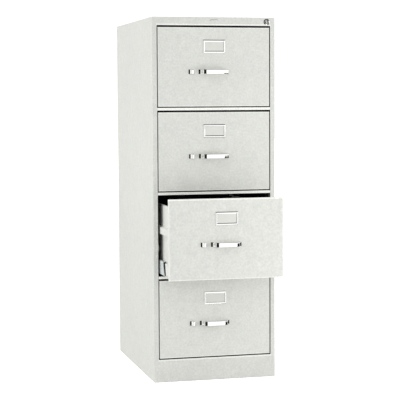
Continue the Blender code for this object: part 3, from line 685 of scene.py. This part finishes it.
def lock_face(material):
    """Lock housing: a sloping bezel round a deep dished cup, and the barrel behind it."""
    low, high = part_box("lock_housing")
    centre = (low + high) / 2
    radius = (high.x - low.x) / 2
    proud = FRONT - low.y
    depth = high.y - FRONT
    profile = [
        (-depth, PLUG_HOLE), (-depth, BARREL_RADIUS), (-0.0004, BARREL_RADIUS), (-0.0002, radius - 0.0002),
        (0.0006, radius), (0.0013, radius - 0.0003), (proud - 0.0003, radius - 0.0030),
        (proud - 0.0001, radius - 0.0034), (proud, radius - 0.0037), (proud - 0.0002, radius - 0.0040),
        (proud - 0.0008, radius - 0.0043), (0.0004, radius - 0.0049), (-0.0018, radius - 0.0050),
        (-0.0022, PLUG_HOLE),
    ]
    bm = bmesh.new()
    turned(bm, profile, facing_front(centre.x, FRONT, centre.z), LOCK_STEPS, closed_path=True)
    mesh_piece("lock_face", bm, material, "case", ["lock_housing"], 28)


def lock_core(bright, dark):
    """Key plug: a dark satin core with a grooved rim, and a bright lip round its keyway."""
    low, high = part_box("lock_housing")
    centre = (low + high) / 2
    profile = [(-0.0120, 0.0058), (CORE_FACE - 0.0012, 0.0060), (CORE_GROOVE, 0.0058), (CORE_RIM, 0.0053),
               (CORE_RIM, 0.0049), (CORE_GROOVE, 0.0047), (CORE_RIM, 0.0044), (CORE_FACE, 0.0040),
               (CORE_FACE, 0.0001)]
    bm = bmesh.new()
    turned(bm, profile, facing_front(centre.x, FRONT, centre.z))
    mesh_piece("lock_core", bm, dark, "lock_plug")
    rings = []
    for across, up in squared_circle(32, 0.5):
        rings.append([Vector((centre.x + across * (KEYWAY_HALF_WIDTH + wide), FRONT - CORE_FACE - out,
                              centre.z + up * (KEYWAY_HALF_HEIGHT + wide))) for wide, out in KEYWAY_LIP])
    bm = bmesh.new()
    loft(bm, rings, closed_path=True)
    mesh_piece("lock_keyway", bm, bright, "lock_plug")


# A filled joint's section: distance across it, and how far it stands out of the case's face
SEAM_SECTION = ((-0.0022, 0.00002), (-0.0010, 0.00010), (0.0, 0.00013), (0.0010, 0.00010), (0.0022, 0.00002),
                (0.0022, -0.0009), (-0.0022, -0.0009))
SEAM_ENDS = (("header", HEAD + 0.0006, TOP - 0.0003), ("plinth", 0.0004, OPENING_LOW - 0.0006))


def seam_fillers(paint):
    """The welded and filled joints between the stiles and the header and plinth, ground flush and painted."""
    for word, side in SIDES:
        for end, bottom, top in SEAM_ENDS:
            rings = []
            for z in (bottom, (bottom + top) / 2, top):
                rings.append([Vector((side * (OPENING_SIDE + across), FRONT - out, z))
                              for across, out in SEAM_SECTION])
            bm = bmesh.new()
            loft(bm, rings)
            mesh_piece(f"seam_filler_{end}_{word}", bm, paint, "case", (), 80)


BADGE_BELOW_TOP = 0.0140
# Half width, half height, and the edge from the header out: distance in, and distance out
BADGE_RIM = (0.0155, 0.0050,
             ((0.0, 0.0), (0.0, 0.0003), (0.0005, 0.0008), (0.0011, 0.0009), (0.0014, 0.0004)))
BADGE_PLATE = (0.0142, 0.0037, ((0.0, 0.0), (0.0, 0.0004), (0.0006, 0.0006), (0.0020, 0.0008)))


def badge(name, sizes, material):
    """One piece of the blank badge in the middle of the header, which has no mark on it."""
    half_x, half_z, edge = sizes
    z = TOP - BADGE_BELOW_TOP
    rings = []
    for inset, out in edge:
        rings.append([Vector((across * (half_x - inset), FRONT - out, z + up * (half_z - inset)))
                      for across, up in squared_circle(48, 0.4)])
    bm = bmesh.new()
    loft(bm, rings)
    mesh_piece(name, bm, material, "case", (), 50)


# --- Slides and trays ---

# Rivets: radius and height. Places along a part are distances from its front end
SLIDE_RIVET = (0.0030, 0.0008)
SLIDE_RIVETS = (0.060, 0.200, 0.360, 0.520)
SLIDE_FACE_INSET = 0.0014
ROLLER_ALONG = 0.034
ROLLER_FROM_MIDDLE = 0.0110
ROLLER_OFF_MEMBER = 0.0019
ROLLER_RADIUS = 0.0058
ROLLER_WIDTH = 0.0016
TRAY_RIVET = (0.0026, 0.0009)
TRAY_RIVETS = (0.030, 0.160, 0.300, 0.440, 0.580)
TRAY_RIVET_HEIGHT = 0.070
CATCH_ALONG = 0.0035
CATCH_EASE = 0.0012


def roller(bm, place, radius, width):
    """A roller with a crowned tread and a dished face."""
    half = width / 2
    profile = [(-half, 0.0018), (-half, radius - 0.0008), (-half + 0.0006, radius - 0.0001), (0.0, radius),
               (half - 0.0006, radius - 0.0001), (half, radius - 0.0008), (half, radius * 0.62),
               (half - 0.0006, radius * 0.55), (half - 0.0006, 0.0018)]
    turned(bm, profile, place, 32)


def rivet(bm, place, radius, height):
    """A domed rivet head."""
    profile = [(-0.0006, radius), (0.0, radius), (height * 0.45, radius * 0.93),
               (height * 0.8, radius * 0.68), (height, radius * 0.3), (height * 1.02, 0.0001)]
    turned(bm, profile, place, 20)


def slide_hardware(number, plate, plastic):
    """Rivets and rollers on a drawer's two intermediate slide members."""
    body = f"mid_slides_{number}"
    for word, side in SIDES:
        low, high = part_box(f"mid_slide_{word}_{number}")
        middle = (low.z + high.z) / 2
        face = (high.x if side > 0 else low.x) - side * SLIDE_FACE_INSET
        bm = bmesh.new()
        for along in SLIDE_RIVETS:
            rivet(bm, facing_side(face, low.y + along, middle, -side), *SLIDE_RIVET)
        mesh_piece(f"slide_rivets_{word}_{number}", bm, plate, body)
        bm = bmesh.new()
        for end in (-1, 1):
            place = facing_side(face - side * ROLLER_OFF_MEMBER, low.y + ROLLER_ALONG,
                                middle + end * ROLLER_FROM_MIDDLE, -side)
            roller(bm, place, ROLLER_RADIUS, ROLLER_WIDTH)
        mesh_piece(f"slide_rollers_{word}_{number}", bm, plastic, body)


def drawer_details(number, plate):
    """Rivets on a tray's sides, and the follower's catch."""
    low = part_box(f"drawer_body_{number}")[0]
    for word, side in SIDES:
        bm = bmesh.new()
        for along in TRAY_RIVETS:
            place = facing_side(side * (TRAY_SIDE - 0.0001), low.y + along, low.z + TRAY_RIVET_HEIGHT, side)
            rivet(bm, place, *TRAY_RIVET)
        mesh_piece(f"tray_rivets_{word}_{number}", bm, plate, f"drawer_{number}")
    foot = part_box(f"follower_{number}")[0]
    y = foot.y + CATCH_ALONG
    bm = bmesh.new()
    rounded_box(bm, (-0.016, y - 0.0022, foot.z + 0.118), (0.016, y + 0.0080, foot.z + 0.142), CATCH_EASE)
    rounded_box(bm, (-0.011, y - 0.0048, foot.z + 0.126), (0.011, y + 0.0010, foot.z + 0.133), CATCH_EASE)
    mesh_piece(f"follower_catch_{number}", bm, plate, f"follower_plate_{number}")


# --- Case hardware ---

BACK_RIVET = (0.0030, 0.0005)
BACK_RIVET_HEIGHTS = (0.06, 0.36, 0.66, 0.96, 1.26)
BACK_RIVET_INSET = 0.010
BACK_JOGGLE = 0.0006
GLIDE_FROM_SIDE = 0.024
GLIDE_FROM_FRONT = 0.050
GLIDE_FROM_BACK = 0.030
GLIDE_PLATE_HALF = 0.018
GLIDE_PLATE_LOW = 0.0160
GLIDE_PLATE_HIGH = 0.0180
GLIDE_PLATE_EASE = 0.0004
# Height above the floor, and radius
GLIDE_STEM = ((0.0065, 0.0040), (0.0300, 0.0040), (0.0306, 0.0034))
GLIDE_FOOT = ((0.0004, 0.0110), (0.0012, 0.0125), (0.0050, 0.0125), (0.0064, 0.0080))


def back_rivets(material):
    """Rivets along the back sheet's joggle, each in the shallow step between the flange and the sheet."""
    bm = bmesh.new()
    for _, side in SIDES:
        for z in BACK_RIVET_HEIGHTS:
            rivet(bm, facing_back(side * (SIDE - BACK_RIVET_INSET), BACK - BACK_JOGGLE, z), *BACK_RIVET)
    mesh_piece("back_rivets", bm, material, "case")


def glides(metal, plastic):
    """Corner plates with levelling glides, inside the base."""
    half = GLIDE_PLATE_HALF
    for word, side in SIDES:
        for end, y in (("front", FRONT + GLIDE_FROM_FRONT), ("rear", BACK - GLIDE_FROM_BACK)):
            x = side * (SIDE - GLIDE_FROM_SIDE)
            place = Matrix.Translation((x, y, 0.0))
            bm = bmesh.new()
            turned(bm, GLIDE_STEM, place, 20)
            rounded_box(bm, (x - half, y - half, GLIDE_PLATE_LOW), (x + half, y + half, GLIDE_PLATE_HIGH),
                        GLIDE_PLATE_EASE)
            mesh_piece(f"glide_plate_{end}_{word}", bm, metal, "case")
            bm = bmesh.new()
            turned(bm, GLIDE_FOOT, place, 32)
            mesh_piece(f"glide_foot_{end}_{word}", bm, plastic, "case")


# --- Set and light ---


def mirrored_studio(graph, degrees, z):
    """How bright the studio is to metal: white, with darker stretches, as the gaps between soft boxes are."""
    gap = graph.math("MULTIPLY", graph.ramp(degrees, *GAP_START), graph.ramp(degrees, *GAP_END, 1.0, 0.0))
    left_end = graph.ramp(degrees, *LEFT_END, 1.0, 0.0)
    right_end = graph.ramp(degrees, *RIGHT_END, 0.0, RIGHT_END_DARK)
    low_right = graph.math("MULTIPLY", graph.ramp(degrees, *LOW_RIGHT_START),
                           graph.ramp(degrees, *LOW_RIGHT_END, 1.0, 0.0))
    low_right = graph.math("MULTIPLY", low_right, graph.ramp(z, *LOW_RIGHT_RISE, 1.0, 0.0))
    dark = gap
    for stretch in (left_end, right_end, low_right, graph.ramp(z, *CEILING_RISE)):
        dark = graph.math("MAXIMUM", dark, stretch)
    return graph.ramp(dark, 0.0, 1.0, MIRRORED_WHITE, MIRRORED_DARK)


def studio_world():
    """A white studio, with one brightness to paint, one to metal and one to the camera."""
    world = bpy.data.worlds.new("studio")
    bpy.context.scene.world = world
    world.use_nodes = True
    graph = Graph(world.node_tree)
    direction = graph.add("ShaderNodeTexCoord").outputs["Generated"]
    x, y, z = graph.add("ShaderNodeSeparateXYZ", {0: direction}).outputs
    azimuth = graph.math("ARCTAN2", x, graph.math("MULTIPLY", y, -1.0))
    mirrored = mirrored_studio(graph, graph.math("MULTIPLY", azimuth, 180 / math.pi), z)
    sideways = graph.ramp(x, -1.0, 1.0, WORLD_LEFT, WORLD_RIGHT)
    forward = graph.ramp(y, *FRONT_FADE, WORLD_FRONT, 1.0)
    upward = graph.math("MULTIPLY", graph.ramp(z, *FLOOR_FADE, WORLD_FLOOR, 1.0),
                        graph.ramp(z, *TOP_FADE, 1.0, WORLD_TOP))
    soft = graph.math("MULTIPLY", sideways, graph.math("MULTIPLY", upward, forward))
    path = graph.add("ShaderNodeLightPath").outputs
    strength = graph.add("ShaderNodeMix", {0: path["Is Glossy Ray"], 2: soft, 3: mirrored}).outputs[0]
    strength = graph.add("ShaderNodeMix", {0: path["Is Camera Ray"], 2: strength, 3: WORLD_SEEN}).outputs[0]
    shader = graph.add("ShaderNodeBackground", {"Color": (1.0, 1.0, 1.0, 1.0), "Strength": strength})
    graph.add("ShaderNodeOutputWorld", {"Surface": shader.outputs[0]})


def floor():
    """The plain pale floor, which is white to the camera."""
    bm = bmesh.new()
    bmesh.ops.create_grid(bm, x_segments=1, y_segments=1, size=FLOOR_HALF)
    mesh = bpy.data.meshes.new("studio_floor")
    bm.to_mesh(mesh)
    bm.free()
    made, graph, place = new_material("pale_floor")
    colour = graph.tinted((FLOOR_BOUNCE,) * 3, graph.noise(place, 3.0, 2.0, 0.5, 0.985, 1.0))
    seen = graph.add("ShaderNodeLightPath").outputs["Is Camera Ray"]
    sockets = {"Base Color": colour, "Roughness": 0.9, "Specular IOR Level": 0.1,
               "Emission Color": (1.0, 1.0, 1.0, 1.0), "Emission Strength": seen}
    finish_material(graph, None, 0.0, sockets)
    mesh.materials.append(made)
    ground = bpy.data.objects.new("studio_floor", mesh)
    bpy.context.scene.collection.objects.link(ground)
    ground.visible_glossy = False


def soft_light(name, place, target, size, power):
    """A square soft box that lights the paint. Metal doesn't reflect it, because the studio does that."""
    data = bpy.data.lights.new(name, "AREA")
    data.shape = "SQUARE"
    data.size = size
    data.energy = power
    light = bpy.data.objects.new(name, data)
    bpy.context.scene.collection.objects.link(light)
    light.location = place
    light.rotation_euler = (Vector(target) - Vector(place)).to_track_quat("-Z", "Y").to_euler()
    light.visible_glossy = False


def camera():
    data = bpy.data.cameras.new("camera")
    data.lens = CAMERA_LENS
    data.sensor_width = CAMERA_SENSOR
    data.clip_end = FLOOR_HALF * 2
    eye = bpy.data.objects.new("camera", data)
    bpy.context.scene.collection.objects.link(eye)
    aim = Matrix.Rotation(-CAMERA_TURN, 4, "Z") @ Matrix.Rotation(math.pi / 2 + CAMERA_TILT, 4, "X")
    eye.matrix_world = Matrix.Translation(CAMERA_PLACE) @ aim @ Matrix.Rotation(CAMERA_ROLL, 4, "Z")
    bpy.context.scene.camera = eye


def main():
    bpy.context.scene.view_settings.view_transform = "Standard"
    camera()
    studio_world()
    floor()
    soft_light("right_box", *RIGHT_BOX)
    soft_light("left_box", *LEFT_BOX)

    # Every enamel paints highlights and shade beside the openings; the case's and rails' also paint shade
    # inside
    paint = enamel("enamel_case")
    shaded_inside = enamel("enamel_case_shaded_inside", CASE_LIGHTNESS, shaded_inside=True)
    rails = enamel("enamel_cross_rail", RAIL_LIGHTNESS, shaded_inside=True)
    drawer_paint = enamel("enamel_drawer", DRAWER_LIGHTNESS)
    # The case's slides get zinc darkened as painted shade
    shaded_zinc = zinc("zinc_plate_painted_shade", ZINC_PAINTED_SHADE)
    # The left upright: dark charcoal as painted shade, with its strikes in the cabinet's paint
    strikes = charcoal_matt("charcoal_shade_with_strikes", UPRIGHT_FACE - STRIKE_MARGIN)
    dark, plate, bright = charcoal_matt(), zinc(), chrome()
    card, plastic = card_paper(), nylon()
    finishes = {"charcoal_primer": dark, "zinc_plated_steel": plate, "bright_chrome": bright}
    for node in NODES:
        if node.startswith(("side_panel", "back_panel", "top_panel", "base_plinth")):
            finish_cad(node, shaded_inside)
        elif node.startswith("cross_rail"):
            finish_cad(node, rails)
        elif node.startswith("drawer_body"):
            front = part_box(node.replace("body", "front"))[0].y
            # A tray's slide members behind a slanted line get painted shade
            finish_cad(node, enamel(f"enamel_tray_{node[-1]}", shaded_behind=front + MASK_START))
        elif node.startswith("drawer_"):
            finish_cad(node, drawer_paint)
        elif node == "front_upright_left":
            finish_cad(node, strikes)
        elif node.startswith("case_slide"):
            finish_cad(node, shaded_zinc)
        else:
            finish_cad(node, finishes[SLOTS[node]])
    for number in DRAWERS:
        bow_pull(number, bright)
        thumb_piece(number, bright)
        label_frame(number, bright)
        label_card(number, card)
        drawer_details(number, plate)
    for number in DRAWERS:
        slide_hardware(number, plate, plastic)
    lock_face(bright)
    lock_core(bright, dark)
    badge("badge_rim", BADGE_RIM, bright)
    badge("badge_plate", BADGE_PLATE, paint)
    seam_fillers(paint)
    back_rivets(paint)
    glides(plate, dark)


main()
